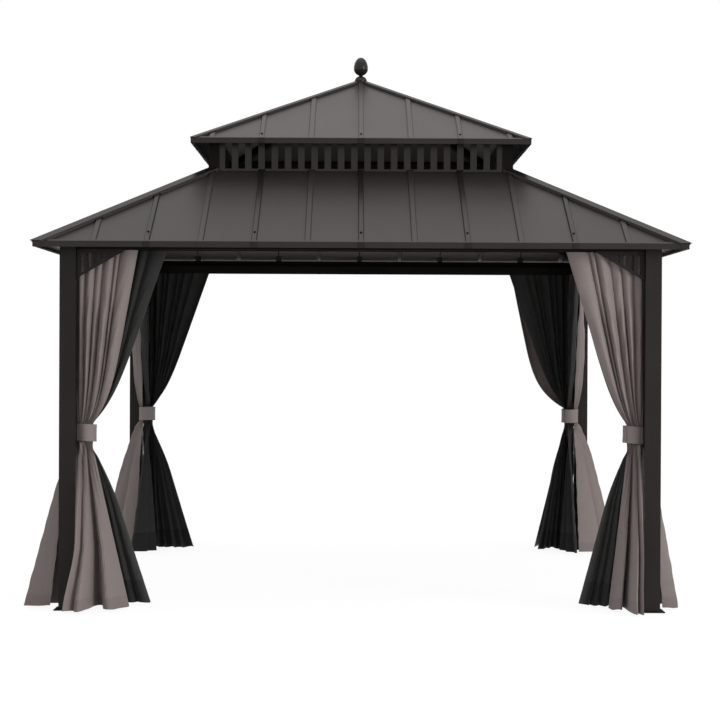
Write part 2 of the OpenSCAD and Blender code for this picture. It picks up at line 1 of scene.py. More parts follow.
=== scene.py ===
# %% [markdown]
# # A hardtop gazebo, dressed
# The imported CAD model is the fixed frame: posts, beams, brackets, two tiers of ribbed roof and a
# slotted vent storey. This lesson adds what a solid modeller leaves out: cloth that hangs in folds,
# netting, bands that gather them, small screws, and paint that catches the light.
# Everything is in metres and in the frame's own axes: the front looks along -Y and Z = 0 is the ground.

# %% Load the frame
import bmesh
import bpy
import numpy as np
from mathutils import Matrix, Vector


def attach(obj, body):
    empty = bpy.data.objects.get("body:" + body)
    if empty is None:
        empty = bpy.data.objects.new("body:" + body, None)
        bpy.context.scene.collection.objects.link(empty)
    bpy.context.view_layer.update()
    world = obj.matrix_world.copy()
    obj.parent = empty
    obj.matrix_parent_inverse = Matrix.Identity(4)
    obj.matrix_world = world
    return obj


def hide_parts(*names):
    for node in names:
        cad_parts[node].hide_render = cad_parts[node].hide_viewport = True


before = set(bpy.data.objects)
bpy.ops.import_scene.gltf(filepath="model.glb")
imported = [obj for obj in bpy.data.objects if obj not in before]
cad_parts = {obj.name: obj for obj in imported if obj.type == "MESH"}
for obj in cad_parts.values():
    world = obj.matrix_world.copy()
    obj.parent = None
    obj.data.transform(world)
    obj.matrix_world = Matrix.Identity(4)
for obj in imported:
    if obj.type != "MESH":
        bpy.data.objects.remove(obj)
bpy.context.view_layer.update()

# %% [markdown]
# ## The camera
# The photograph was taken from about twelve metres away with a long lens, a little below the middle of
# the gazebo. Its place was found by fitting the posts, eaves and ribs. The lens could be guessed by eye,
# but a fitted camera puts every edge in its place.

# %% Camera
FOCAL_PX, PHOTO_PX, SENSOR_MM = 1855.6, 720, 36
CAMERA_AT = (-0.038, -12.187, 1.478)
camera_data = bpy.data.cameras.new("camera")
camera_data.lens = FOCAL_PX / PHOTO_PX * SENSOR_MM
camera_data.sensor_width = SENSOR_MM
camera_data.clip_end = 400
camera = bpy.data.objects.new("camera", camera_data)
bpy.context.scene.collection.objects.link(camera)
pan, tilt, roll = 0.00335, -0.00536, 0.00456
camera.matrix_world = (
    Matrix.Translation(CAMERA_AT)
    @ Matrix.Rotation(-pan, 4, "Z")
    @ Matrix.Rotation(np.pi / 2 + tilt, 4, "X")
    @ Matrix.Rotation(roll, 4, "Z")
)
bpy.context.scene.camera = camera
print("lens", round(camera_data.lens, 1), "mm")

# %% [markdown]
# ## From a grid of points to a mesh
# Each new piece is a surface: points worked out for a whole grid at once, with rows along one parameter
# and columns along the other. One helper turns such grids into quads. Several grids of one shape, such
# as the screws of a roof, go into one mesh as one array.

# %% Grid helper
def grid_piece(name, points, uv=None, ring=False, weld=False):
    """Mesh of quads over grids of points [..., rows, columns, 3]. ring joins the last column to the first,
    weld merges points that fall together, which closes seams and poles."""
    rows, cols = points.shape[-3:-1]
    grids = points.reshape(-1, rows, cols, 3)
    r, c = np.meshgrid(np.arange(rows - 1), np.arange(cols if ring else cols - 1), indexing="ij")
    right = (c + 1) % cols
    one = np.stack([r * cols + c, r * cols + right, (r + 1) * cols + right, (r + 1) * cols + c], -1)
    quads = one.reshape(1, -1, 4) + (np.arange(len(grids)) * rows * cols)[:, None, None]
    quads = quads.reshape(-1, 4)
    mesh = bpy.data.meshes.new(name)
    mesh.from_pydata(grids.reshape(-1, 3), [], quads)
    if uv is not None:
        layer = mesh.uv_layers.new(name="cloth")
        layer.data.foreach_set("uv", uv.reshape(-1, 2)[quads.ravel()].astype(np.float32).ravel())
    if weld:
        bm = bmesh.new()
        bm.from_mesh(mesh)
        bmesh.ops.remove_doubles(bm, verts=bm.verts, dist=1e-6)
        bmesh.ops.recalc_face_normals(bm, faces=bm.faces)
        bm.to_mesh(mesh)
        bm.free()
    mesh.polygons.foreach_set("use_smooth", np.ones(len(mesh.polygons), bool))
    mesh.update()
    piece = bpy.data.objects.new(name, mesh)
    bpy.context.scene.collection.objects.link(piece)
    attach(piece, "root")
    return piece


def mix(a, b, t):
    """a where t is 0, b where t is 1."""
    return a + (b - a) * t


def smooth(t):
    """Eased step from 0 to 1."""
    t = np.clip(t, 0, 1)
    return t * t * (3 - 2 * t)


# %% [markdown]
# ## Paint: a shared powder-coat effect
# The frame is steel with a baked powder coat: nearly black brown, satin, with a faint orange peel and
# slow changes of tone. Each material could hold its own copy of these nodes. A node group keeps the
# effect in one place, and every painted material sets its own colour and strength on it.

# %% Node helpers
def new_group(name, inputs, outputs):
    """Empty shader group with named sockets; inputs are (name, kind, default)."""
    group = bpy.data.node_groups.new(name, "ShaderNodeTree")
    for label, kind, default in inputs:
        group.interface.new_socket(label, in_out="INPUT", socket_type=kind).default_value = default
    for label, kind in outputs:
        group.interface.new_socket(label, in_out="OUTPUT", socket_type=kind)
    return group, group.nodes.new("NodeGroupInput"), group.nodes.new("NodeGroupOutput")


def node(tree, kind, links=None, **settings):
    """New node; settings are its properties, and links maps an input's name or number to a value or
    a socket."""
    made = tree.nodes.new(kind)
    for key, value in settings.items():
        setattr(made, key, value)
    for key, value in (links or {}).items():
        if isinstance(value, bpy.types.NodeSocket):
            tree.links.new(value, made.inputs[key])
        else:
            made.inputs[key].default_value = value
    return made


def noise(tree, coords, scale, detail=2.0):
    """Noise value, about 0.5 in the middle, at a scale in features per metre."""
    made = node(tree, "ShaderNodeTexNoise", {"Vector": coords, "Scale": scale, "Detail": detail})
    return made.outputs["Fac"]


def math(tree, operation, a, b=0.0, c=0.0):
    """One Math node."""
    return node(tree, "ShaderNodeMath", {0: a, 1: b, 2: c}, operation=operation).outputs[0]


def ramp(tree, value, low, high, to_low=0.0, to_high=1.0):
    """Value mapped from low..high to to_low..to_high, clamped."""
    limits = {"From Min": low, "From Max": high, "To Min": to_low, "To Max": to_high}
    return node(tree, "ShaderNodeMapRange", {"Value": value, **limits}).outputs[0]


def blend_colour(tree, share, a, b):
    """Colour between a and b."""
    return node(tree, "ShaderNodeMix", {"Factor": share, 6: a, 7: b}, data_type="RGBA").outputs[2]


# %% Powder coat group
def make_powder_coat():
    """Slow mottling of the base colour, dust specks, a flat colour painted on faces that look down as their
    light and shade, a satin roughness that follows the mottling, and a fine peel."""
    tree, given, made = new_group(
        "powder_coat",
        [("Base", "NodeSocketColor", (0.02, 0.02, 0.02, 1)),
         ("Pale", "NodeSocketColor", (0.05, 0.05, 0.05, 1)),
         ("Mottle", "NodeSocketFloat", 0.5),
         ("Roughness", "NodeSocketFloat", 0.4),
         ("Painted Underside", "NodeSocketColor", (0.01, 0.01, 0.01, 1)),
         ("Under Roughness", "NodeSocketFloat", 0.95)],
        [("Color", "NodeSocketColor"), ("Roughness", "NodeSocketFloat"), ("Height", "NodeSocketFloat")])
    coords = node(tree, "ShaderNodeTexCoord").outputs["Object"]
    slow = noise(tree, coords, 2.3, 4)
    dust = ramp(tree, noise(tree, coords, 160, 3), 0.62, 0.78)
    share = math(tree, "MULTIPLY", ramp(tree, slow, 0.35, 0.7), given.outputs["Mottle"])
    share = math(tree, "ADD", share, math(tree, "MULTIPLY", dust, 0.25))
    colour = blend_colour(tree, share, given.outputs["Base"], given.outputs["Pale"])
    facing = node(tree, "ShaderNodeSeparateXYZ", {0: node(tree, "ShaderNodeNewGeometry").outputs["Normal"]})
    # Faces that look down take the underside colour: painted shade on most parts, painted light from the floor
    # on the lower sheets.
    below = ramp(tree, facing.outputs["Z"], -0.1, -0.4)
    tree.links.new(blend_colour(tree, below, colour, given.outputs["Painted Underside"]), made.inputs["Color"])
    rough = math(tree, "MULTIPLY_ADD", slow, 0.16, math(tree, "SUBTRACT", given.outputs["Roughness"], 0.08))
    rough = math(tree, "MAXIMUM", rough, math(tree, "MULTIPLY", below, given.outputs["Under Roughness"]))
    tree.links.new(rough, made.inputs["Roughness"])
    tree.links.new(noise(tree, coords, 420, 1), made.inputs["Height"])
    return tree


powder_coat = make_powder_coat()
PEEL_DEPTH, WARM_SHINE = 0.0006, (1, 0.93, 0.9, 1)


def painted(name, base, pale, mottle, roughness, specular, peel, under, under_roughness):
    """Material of powder-coated metal: the group's colour, roughness and peel on a Principled shader."""
    material = bpy.data.materials.new(name)
    material.use_nodes = True
    tree = material.node_tree
    shader = tree.nodes["Principled BSDF"]
    coat = node(tree, "ShaderNodeGroup", node_tree=powder_coat)
    coat.inputs["Base"].default_value = (*base, 1)
    coat.inputs["Pale"].default_value = (*pale, 1)
    coat.inputs["Mottle"].default_value = mottle
    coat.inputs["Roughness"].default_value = roughness
    # The underside colour is painted light and shade, not a second coat.
    coat.inputs["Painted Underside"].default_value = (under, 0.88 * under, 0.83 * under, 1)
    coat.inputs["Under Roughness"].default_value = under_roughness
    bump = node(tree, "ShaderNodeBump",
                {"Height": coat.outputs["Height"], "Strength": peel, "Distance": PEEL_DEPTH})
    tree.links.new(coat.outputs["Color"], shader.inputs["Base Color"])
    tree.links.new(coat.outputs["Roughness"], shader.inputs["Roughness"])
    tree.links.new(bump.outputs["Normal"], shader.inputs["Normal"])
    shader.inputs["Specular IOR Level"].default_value = specular
    shader.inputs["Specular Tint"].default_value = WARM_SHINE
    return material


# Base and pale colour, then mottle, roughness, specular, peel, under and under roughness; under is the
# level of the painted underside: painted shade, but painted floor light on the lower sheets.
PAINT_VALUES = {
    "lower_sheet_paint": ((0.0215, 0.0178, 0.0166), (0.030, 0.0250, 0.0234),
                          0.6, 0.42, 0.4, 0.18, 0.115, 0.45),
    # The upper sheets' lighter base is painted light for the brighter upper tier; both tiers are one sheet
    # steel.
    "upper_sheet_paint": ((0.0300, 0.0255, 0.0240), (0.040, 0.0340, 0.0320),
                          0.6, 0.42, 0.56, 0.18, 0.002, 0.95),
    "trim_paint": ((0.0105, 0.0089, 0.0083), (0.020, 0.0172, 0.0160),
                   0.45, 0.3, 0.3, 0.12, 0.004, 0.95),
    # The frame paint darkened as painted shade, for beams, rails, vent parts, upper hips and screws.
    "painted_shade_paint": ((0.0050, 0.0044, 0.0041), (0.010, 0.0088, 0.0082),
                   0.45, 0.5, 0.06, 0.12, 0.004, 0.95),
    "frame_paint": ((0.0112, 0.0097, 0.0091), (0.020, 0.0175, 0.0165),
                    0.45, 0.45, 0.17, 0.12, 0.008, 0.95)}
PAINTS = {name: painted(name, *values) for name, values in PAINT_VALUES.items()}
print("paints", *PAINTS)

# %% [markdown]
# ## Painting the frame
# In a factory each steel part is coated before assembly. Here each CAD node gets one paint, chosen by how
# its name starts, so that sheets, trims, beams and posts differ a little in tone and shine. Part of that is
# painted light and shade: beams, rails, vent parts and upper hips take the frame paint darkened as painted
# shade, and the upper sheets are painted lighter than the lower ones as painted light. Painting node by node
# would work too, but a short list of rules is easier to change.

# %% Paint on the CAD nodes
# The first start of a name that fits gives the paint; the empty one takes what is left.
# Beams, rails, vent parts and upper hips take the darker paint, which is painted shade.
KINDS = (("lower_roof_", "lower_sheet_paint"), ("upper_roof", "upper_sheet_paint"),
         ("upper_ribs", "upper_sheet_paint"), ("lower_seams", "trim_paint"), ("lower_hip", "trim_paint"),
         ("upper_hip_caps", "trim_paint"), ("upper_hip", "painted_shade_paint"), ("lower_eave", "trim_paint"),
         ("upper_eave", "trim_paint"), ("finial", "trim_paint"), ("vent_panel", "trim_paint"),
         ("vent_", "painted_shade_paint"), ("beam_", "painted_shade_paint"), ("curtain_rails", "painted_shade_paint"),
         ("", "frame_paint"))
painted_nodes = dict.fromkeys(PAINTS, 0)
for name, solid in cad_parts.items():
    paint = next(paint for start, paint in KINDS if name.startswith(start))
    solid.data.materials.clear()
    solid.data.materials.append(PAINTS[paint])
    painted_nodes[paint] += 1
print("painted", painted_nodes)

# %% [markdown]
# ## Cloth: one sheet, hung, gathered and spread
# A curtain hangs in folds from its rail, is squeezed into a bundle by its tie-back, and spreads again to
# its hem. A cloth simulation could find that shape, but the folds would fall where they like. A formula
# puts them where the photograph shows them: u runs across the cloth, t from the rail down to the tie, s
# from the tie to the hem, and the folds are rounded lobes between narrow creases.

# %% Folds
DRAPE_TOP, TIE_TOP, TIE_FOOT, HEM = 2.0405, 1.05, 0.95, 0.012
TIE_MID, TIE_Z = 1.567, 1.0
GATHERS, GATHER_DEPTH = 27, 0.004


def lobes(u, creases, heights, round_):
    """One rounded lobe between each pair of crease places: |sin| raised to a power, times that lobe's own
    height."""
    place = np.interp(u, creases, np.arange(len(creases)))
    which = np.clip(place.astype(int), 0, len(heights) - 1)
    return np.asarray(heights, float)[which] * np.abs(np.sin(np.pi * place)) ** round_


def waves(u, rng, count):
    """Sum of a few sines of u with falling strength, for uneven spacing."""
    k = np.arange(1, count + 1)[:, None, None]
    turns = rng.uniform(0, 2 * np.pi, (count, 1, 1))
    return (np.sin(2 * np.pi * k * u[None] + turns) / k).sum(0)


def drape(rail, sector, bundle, hem, folds, skirt_folds, inset, late, fall, depth, seed, cols=220, rows=120):
    """Points [rows, cols, 3] of a gathered sheet. Above the tie each thread runs from its place on the rail
    (x0, x1, y) into an arc inside the tie-back, with the angles of sector and the radius bundle; the share
    late of the gathering happens just above the tie, y follows with the power fall, and the first edge stays
    upright beside the post. Below it the threads spread from the arc to a curve over the ground, hem =
    (left x, x beside the post, right x, flare, knots of u, y at the knots), whose first edge passes the post
    before it turns in front of it. folds and skirt_folds are crease places and lobe heights, scaled by depth
    = (at the rail, lower down, at the hem); inset is how far the creases lie behind the sheet's middle."""
    rng = np.random.default_rng(seed)
    u = np.linspace(0, 1, cols)[None, :]
    z = np.concatenate([np.linspace(DRAPE_TOP, 1.11, rows // 2 - 10), np.linspace(1.10, 0.90, 20),
                        np.linspace(0.885, HEM, rows - rows // 2 - 10)])[:, None]
    t = np.clip((DRAPE_TOP - z) / (DRAPE_TOP - TIE_TOP), 0, 1)
    s = np.clip((TIE_FOOT - z) / (TIE_FOOT - HEM), 0, 1)
    fine = np.sin(2 * np.pi * (GATHERS * u + 0.5 * waves(u, rng, 3)))
    angle = np.radians(mix(*sector, u))
    near = smooth((t - 0.6) / 0.4) * (1 - smooth(s / 0.35))
    radius = bundle + GATHER_DEPTH * fine
    arc = -TIE_MID + radius * np.cos(angle), -TIE_MID + radius * np.sin(angle)
    held = mix(0.97, late, smooth(u / 0.3))
    shift = (0.02 + 0.03 * t) * waves(u, rng, 3) * np.sin(np.pi * u)
    inset = inset * smooth(u / 0.08)
    lobe = lobes(u + shift, *folds, 0.55) - inset
    x_up = mix(mix(rail[0], rail[1], u), arc[0], (1 - held) * t + held * t ** 8)
    y_up = mix(rail[2], arc[1], t ** fall)
    fold = mix(mix(depth[0], depth[1], smooth((t - 0.2) / 0.3)), 0.006, t ** 6)
    y_up = y_up - fold * lobe * (1 + 0.15 * waves(u, rng, 3))
    left = mix(arc[0][:, :1], hem[1], smooth(s / 0.12)) + (hem[0] - hem[1]) * smooth((s - 0.58) / 0.42)
    right = mix(arc[0][:, -1:], hem[2], s) + hem[3] * smooth(s / 0.4) * (1 - s)
    knots = np.asarray(hem[4])
    across = np.interp(u, knots, (knots - knots[1]) / (1 - knots[1]) * (knots > knots[1]))
    skirt_lobe = lobes(u + 0.4 * shift, *skirt_folds, 0.65) - inset
    x_low = mix(mix(left, right, mix(u, across, s)), arc[0], (1 - smooth(s / 0.1)))
    y_hem = np.interp(u, knots, hem[5])
    y_low = mix(arc[1], y_hem, mix(s ** 0.5, s ** 0.9, smooth(u / 0.4)))
    y_low = y_low - mix(0.004, depth[2], s) * skirt_lobe * smooth(s / 0.1) * (1 + 0.2 * waves(u, rng, 3))
    y_low = y_low + 0.003 * near * np.sin(90 * z + 25 * u)
    below = smooth((TIE_TOP - z) / (TIE_TOP - TIE_FOOT))
    lift = 0.005 * s ** 6 * np.abs(1 + waves(u, rng, 4))
    drift = 3 * waves(u, rng, 3)
    wrinkle = 0.002 * np.sin(31 * z + 5 * waves(u, rng, 3)) * np.sin(np.pi * t)
    crossing = np.sin(36 * z + 22 * u + drift) + np.sin(61 * z - 31 * u + 2 * drift)
    wrinkle = wrinkle + 0.0025 * s * (1 - 0.6 * s) * crossing
    wrinkle = wrinkle + 0.0035 * np.sin(np.pi * np.clip(s / 0.45, 0, 1)) * np.sin(14 * z + 48 * u + drift)
    return np.stack([mix(x_up, x_low, below), mix(y_up, y_low, below) + wrinkle, z + lift], -1)


def at_corner(points, sx, sy, side):
    """Front left cloth moved to a corner: side swaps x and y, sx and sy mirror; columns keep the face
    outwards."""
    moved = points[..., [1, 0, 2]] if side else points.copy()
    moved[..., 0] *= -sx
    moved[..., 1] *= -sy
    return moved[:, ::-1] if (side + (sx > 0) + (sy > 0)) % 2 == 0 else moved


# %% [markdown]
# ## Fabric finishes
# The curtains are a plain-woven taupe polyester, a little mottled, with a soft sheen; the nets are black
# mesh that looks almost solid where it is gathered, drawn here as a solid sheet, with a heavier hem band.
# Both read the cloth's own UV map, measured in metres along the cloth, so the weave follows every fold.

# %% Weave group
def make_weave():
    """Crossing threads from two sines of the cloth's own coordinates, and slubs: noise drawn out along each
    thread."""
    tree, given, made = new_group(
        "weave", [("Pitch", "NodeSocketFloat", 0.002), ("Slub", "NodeSocketFloat", 0.5)],
        [("Threads", "NodeSocketFloat"), ("Slub", "NodeSocketFloat"), ("Along", "NodeSocketFloat")])
    uv = node(tree, "ShaderNodeUVMap", uv_map="cloth").outputs[0]
    split = node(tree, "ShaderNodeSeparateXYZ", {0: uv})
    turns = math(tree, "DIVIDE", 2 * np.pi, given.outputs["Pitch"])
    across = math(tree, "SINE", math(tree, "MULTIPLY", split.outputs[0], turns))
    along = math(tree, "SINE", math(tree, "MULTIPLY", split.outputs[1], turns))
    threads = math(tree, "MULTIPLY_ADD", math(tree, "MULTIPLY", across, along), 0.5, 0.5)
    warp_way = node(tree, "ShaderNodeMapping", {"Vector": uv, "Scale": (160, 7, 1)}).outputs[0]
    weft_way = node(tree, "ShaderNodeMapping", {"Vector": uv, "Scale": (7, 160, 1)}).outputs[0]
    slubs = math(tree, "ADD", noise(tree, warp_way, 1, 2), noise(tree, weft_way, 1, 2))
    tree.links.new(threads, made.inputs["Threads"])
    slubs = math(tree, "MULTIPLY", math(tree, "SUBTRACT", slubs, 1.0), given.outputs["Slub"])
    tree.links.new(slubs, made.inputs["Slub"])
    tree.links.new(split.outputs[1], made.inputs["Along"])
    return tree


weave = make_weave()
THREAD_DEPTH = 0.0008


def cloth_material(name, dark, pale, band, pitch, roughness, sheen, bump_strength):
    """Fabric: colour from the slubs and threads, darker in the hem band (from, dark share), woven bump."""
    material = bpy.data.materials.new(name)
    material.use_nodes = True
    tree = material.node_tree
    shader = tree.nodes["Principled BSDF"]
    cloth = node(tree, "ShaderNodeGroup", node_tree=weave)
    cloth.inputs["Pitch"].default_value = pitch
    cloth.inputs["Slub"].default_value = 0.7
    tone = math(tree, "MULTIPLY_ADD", cloth.outputs["Threads"], 0.3, 0.35)
    tone = math(tree, "ADD", tone, cloth.outputs["Slub"])
    colour = blend_colour(tree, tone, (*dark, 1), (*pale, 1))
    hem = ramp(tree, cloth.outputs["Along"], band[0], band[0] + 0.002)
    colour = blend_colour(tree, math(tree, "MULTIPLY", hem, band[1]), colour, (*(0.4 * x for x in dark), 1))
    tree.links.new(colour, shader.inputs["Base Color"])
    bump = node(tree, "ShaderNodeBump",
                {"Height": cloth.outputs["Threads"], "Strength": bump_strength, "Distance": THREAD_DEPTH})
    tree.links.new(bump.outputs["Normal"], shader.inputs["Normal"])
    shader.inputs["Roughness"].default_value = roughness
    shader.inputs["Specular IOR Level"].default_value = 0.3
    shader.inputs["Sheen Weight"].default_value = sheen
    shader.inputs["Sheen Roughness"].default_value = 0.5
    return material


taupe_weave = cloth_material(
    "taupe_weave", dark=(0.19, 0.157, 0.148), pale=(0.235, 0.196, 0.186), band=(1.985, 0.15),
    pitch=0.0024, roughness=0.62, sheen=0.06, bump_strength=0.22)
black_mesh = cloth_material(
    "black_mesh", dark=(0.011, 0.0105, 0.0102), pale=(0.025, 0.024, 0.0233), band=(1.92, 0.75),
    pitch=0.0032, roughness=0.8, sheen=0.08, bump_strength=0.3)
print("fabrics", taupe_weave.name, black_mesh.name)

# %% [markdown]
# ## Hanging the cloth
# At each corner two curtains and two nets hang from double rails and meet in one bundle. The sheets are
# worked out once for the front left corner, then mirrored and swapped to the other ones. Copies would be
# exact twins, so each sheet has its own seed, and a few are drawn out or spread as in the photograph.

# %% Hang the curtains and the nets
CURTAIN_CUT, NET_CUT = (0.7, 2.05), (0.63, 2.05)
# Where each track starts beside the post, and how far out it lies.
CURTAIN_TRACK, NET_TRACK = (-1.605, -1.6162), (-1.544, -1.5722)
CORNERS = {"fl": (-1, -1), "fr": (1, -1), "rl": (-1, 1), "rr": (1, 1)}


def cloth_uv(points, cut):
    """The cloth's own coordinates in metres: across by column, along by row."""
    rows, cols = points.shape[:2]
    across, along = np.meshgrid(np.linspace(0, cut[0], cols), np.linspace(0, cut[1], rows))
    return np.stack([across, along], -1)


# Each sheet's end on the rail, late share and hem. A sheet that hangs otherwise in the photograph, by corner
# and side (0 is the face, 1 the side), changes some of them.
CURTAIN = dict(end=-1.269, late=0.32, toe=-1.65, beside=-1.607, foot=-1.31, knots=(0, 0.2, 0.35, 0.6, 1),
               out=(-1.755, -1.90, -1.88, -1.795, -1.65), fold=0.125)
NET = dict(end=-1.1105, late=0.2, toe=-1.53, beside=-1.545, foot=-1.208, knots=(0, 0.06, 1),
           out=(-1.58, -1.575, -1.495))
CURTAIN_DRAWN = {("fr", 0): dict(end=-1.171, late=0.15, toe=-1.58, beside=-1.60, foot=-1.42),
                 ("fr", 1): dict(toe=-1.605, out=(-1.73, -1.82, -1.81, -1.75, -1.65), fold=0.08),
                 ("rr", 0): dict(end=-1.13, late=0.5)}
NET_DRAWN = {("fr", 0): dict(end=-1.19, foot=-1.27), ("rr", 0): dict(foot=-1.32),
             ("rr", 1): dict(foot=-1.25, knots=(0, 0.06, 0.6, 1), out=(-1.58, -1.575, -1.51, -1.60)),
             ("rl", 1): dict(foot=-1.17, knots=(0, 0.06, 0.6, 1), out=(-1.58, -1.575, -1.50, -1.66))}
hung = []
for index, (corner, (sx, sy)) in enumerate(CORNERS.items()):
    for side in (0, 1):
        seed = 10 * index + side
        drawn = CURTAIN | CURTAIN_DRAWN.get((corner, side), {})
        curtain = drape(
            rail=(CURTAIN_TRACK[0], drawn["end"], CURTAIN_TRACK[1]), sector=(230, 321), bundle=0.047, inset=0.3,
            hem=(drawn["toe"], drawn["beside"], drawn["foot"], 0, drawn["knots"], drawn["out"]),
            folds=((0, 0.12, 0.31, 0.44, 0.6, 0.7, 1), (0.6, 1, 0.7, 1, 0.6, 0.9)),
            skirt_folds=((0, 0.34, 0.52, 0.67, 1), (0.35, 0.6, -1.2, 0.7)),
            late=drawn["late"], fall=4, depth=(0.034, 0.07, drawn["fold"]), seed=seed)
        drawn = NET | NET_DRAWN.get((corner, side), {})
        net = drape(
            rail=(NET_TRACK[0], drawn["end"], NET_TRACK[1]), sector=(308, 399), bundle=0.0345, inset=0.75,
            hem=(drawn["toe"], drawn["beside"], drawn["foot"], 0.04, drawn["knots"], drawn["out"]),
            folds=((0, 0.1, 0.24, 0.33, 0.5, 0.61, 0.75, 1), (1, 0.8, 1, 0.7, 1, 0.8, 1)),
            skirt_folds=((0, 0.22, 0.38, 0.6, 0.78, 1), (1, 0.7, 1, 0.8, 1)),
            late=drawn["late"], fall=6, depth=(0.036, 0.042, 0.062), seed=100 + seed)
        for kind, cloth, cut, finish in (("curtain", curtain, CURTAIN_CUT, taupe_weave),
                                         ("net", net, NET_CUT, black_mesh)):
            where = f"{kind}_{corner}_{'side' if side else 'face'}"
            points = at_corner(cloth, sx, sy, side)
            piece = grid_piece(where, points, cloth_uv(points, cut))
            piece.data.materials.append(finish)
            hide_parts(f"{kind}s_{corner}")
            hung.append(piece)
print("hung", len(hung), "sheets of", sum(len(p.data.polygons) for p in hung) * 2, "triangles")

# %% [markdown]
# ## Tie-backs
# A tie-back is a short band of the curtain's cloth, wrapped round all four bundles of a corner and
# fastened on itself, so that its end laps over its start. It is a flat rounded profile carried along a
# nearly round path that steps outwards where the end laps.

# %% Tie-back bands
BAND_R, BAND_LAP, BAND_HALF, BAND_HALF_THICK = 0.0578, 0.0034, 0.049, 0.00125


def tie_band(seed, end_angle):
    """Points of a lapped band: a thin rounded rectangle, in radius and height, along a circle whose radius
    grows by one lap over the last part of its first turn. The first and last rings close on their middles."""
    rng = np.random.default_rng(seed)
    turn = np.linspace(0, 2 * np.pi + 0.75, 97)[:, None]
    a = np.linspace(0, 2 * np.pi, 40, endpoint=False)[None, :]
    across = BAND_HALF_THICK * np.sign(np.cos(a)) * np.abs(np.cos(a)) ** 0.5
    up = BAND_HALF * np.sign(np.sin(a)) * np.abs(np.sin(a)) ** 0.35
    height = up / BAND_HALF
    radius = BAND_R + BAND_LAP * smooth((turn - 5.6) / 0.6) + across
    radius = radius + 0.0012 * np.sin(3 * turn + rng.uniform(0, 6)) * height + 0.0015 * height ** 2
    closing = np.ones_like(turn)
    closing[[0, -1]] = 0
    middle = radius.mean(1, keepdims=True)
    radius, up = mix(middle, radius, closing), up * closing
    angle = turn - turn[-1] + np.radians(end_angle)
    z = TIE_Z + up + 0.004 * np.sin(angle + rng.uniform(0, 6))
    return np.stack([radius * np.cos(angle), radius * np.sin(angle), z], -1)


def band_uv(points):
    """Metres along the band and round its section."""
    rows, cols = points.shape[:2]
    along, around = np.meshgrid(np.linspace(0, 0.41, rows), np.linspace(0, 0.2, cols), indexing="ij")
    return np.stack([around, along], -1)


for index, (corner, (sx, sy)) in enumerate(CORNERS.items()):
    band = tie_band(40 + index, -38 if sx < 0 else 222)
    band = band + np.array([sx * TIE_MID, sy * TIE_MID, 0])
    piece = grid_piece(f"tie_band_{corner}", band, band_uv(band), ring=True, weld=True)
    piece.data.materials.append(taupe_weave)
    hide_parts("tie_backs")
print("tie-backs", len(CORNERS))

# %% [markdown]
# ## Screws on the roof
# Hex-headed screws with a washer flange hold the seam strips near the eaves. A head is a profile of radii
# and heights turned round its axis, with the hexagon as a radius that changes with the angle. All heads
# are copies of one small grid, placed by arrays of origins and axes on the four slopes.

# %% Screw heads
# Half span and height of each eave, and the slope of its sheets.
LOWER_EAVE, LOWER_Z, LOWER_SLOPE = 1.830, 2.0675, np.radians(28.4)
UPPER_EAVE, UPPER_Z, UPPER_SLOPE = 1.025, 2.7393, np.radians(25.9)


def screw_head():
    """Grid of a flanged hex head standing on z = 0: rings of radius and height, six-sided in the middle."""
    a = np.linspace(0, 2 * np.pi, 12, endpoint=False)[None, :]
    hexagon = 1 - 0.13 * (np.cos(6 * a) < 0)
    radius = np.array([0.0078, 0.0078, 0.0052, 0.0052, 0.004, 0.0])[:, None]
    height = np.array([-0.0004, 0.0012, 0.0018, 0.005, 0.0056, 0.0056])[:, None]
    shaped = radius * np.where((np.arange(len(radius)) > 1)[:, None], hexagon, 1)
    return np.stack([shaped * np.cos(a), shaped * np.sin(a), height + 0 * a], -1)


def on_slope(x, run, rise, eave, eave_z, slope):
    """Origins and axes of points on the four slopes: x along the eave, run up the slope, rise off the
    sheet."""
    x, run = np.broadcast_arrays(np.asarray(x, float), np.asarray(run, float))
    base = np.stack([x, -eave + run * np.cos(slope) - rise * np.sin(slope),
                     eave_z + run * np.sin(slope) + rise * np.cos(slope)], -1)
    tilt_ = np.array([[1, 0, 0], [0, np.cos(slope), -np.sin(slope)], [0, np.sin(slope), np.cos(slope)]])
    q = np.arange(4) * np.pi / 2
    turns = np.zeros((4, 3, 3))
    turns[:, 0, 0], turns[:, 0, 1] = np.cos(q), -np.sin(q)
    turns[:, 1, 0], turns[:, 1, 1], turns[:, 2, 2] = np.sin(q), np.cos(q), 1
    return np.einsum("kij,nj->kni", turns, base).reshape(-1, 3), np.repeat(turns @ tilt_, len(base), 0)


def copies(grid, origins, axes):
    """The grid placed at every origin, turned by its axes."""
    return np.einsum("nij,rcj->nrci", axes, grid) + origins[:, None, None, :]


RIB_STEP, PLATE_HEIGHT = 0.3, 0.0325
seam_x, short_x = np.arange(-4, 5, 2) * RIB_STEP, np.arange(-2, 3, 2) * RIB_STEP
lower_at = on_slope(seam_x, 0.135, 0.0103, LOWER_EAVE, LOWER_Z, LOWER_SLOPE)
upper_at = on_slope(short_x, 0.085, 0.0093, UPPER_EAVE, UPPER_Z, UPPER_SLOPE)
origins, axes = (np.concatenate(pair) for pair in zip(lower_at, upper_at))
screws = grid_piece("roof_screws", copies(screw_head(), origins, axes), ring=True, weld=True)
# The screws take the same darker paint, which is painted shade.
screws.data.materials.append(PAINTS["painted_shade_paint"])
print("screws", len(origins))

# %% [markdown]
# ## Joint plates on the eave trim
# Lengths of eave trim meet at the seams, and a small plate covers each joint. A plate is a thin rounded
# section carried 42 mm along the eave and closed at both ends. It could be drawn as a box, but the rounded
# corners are what catch the light.

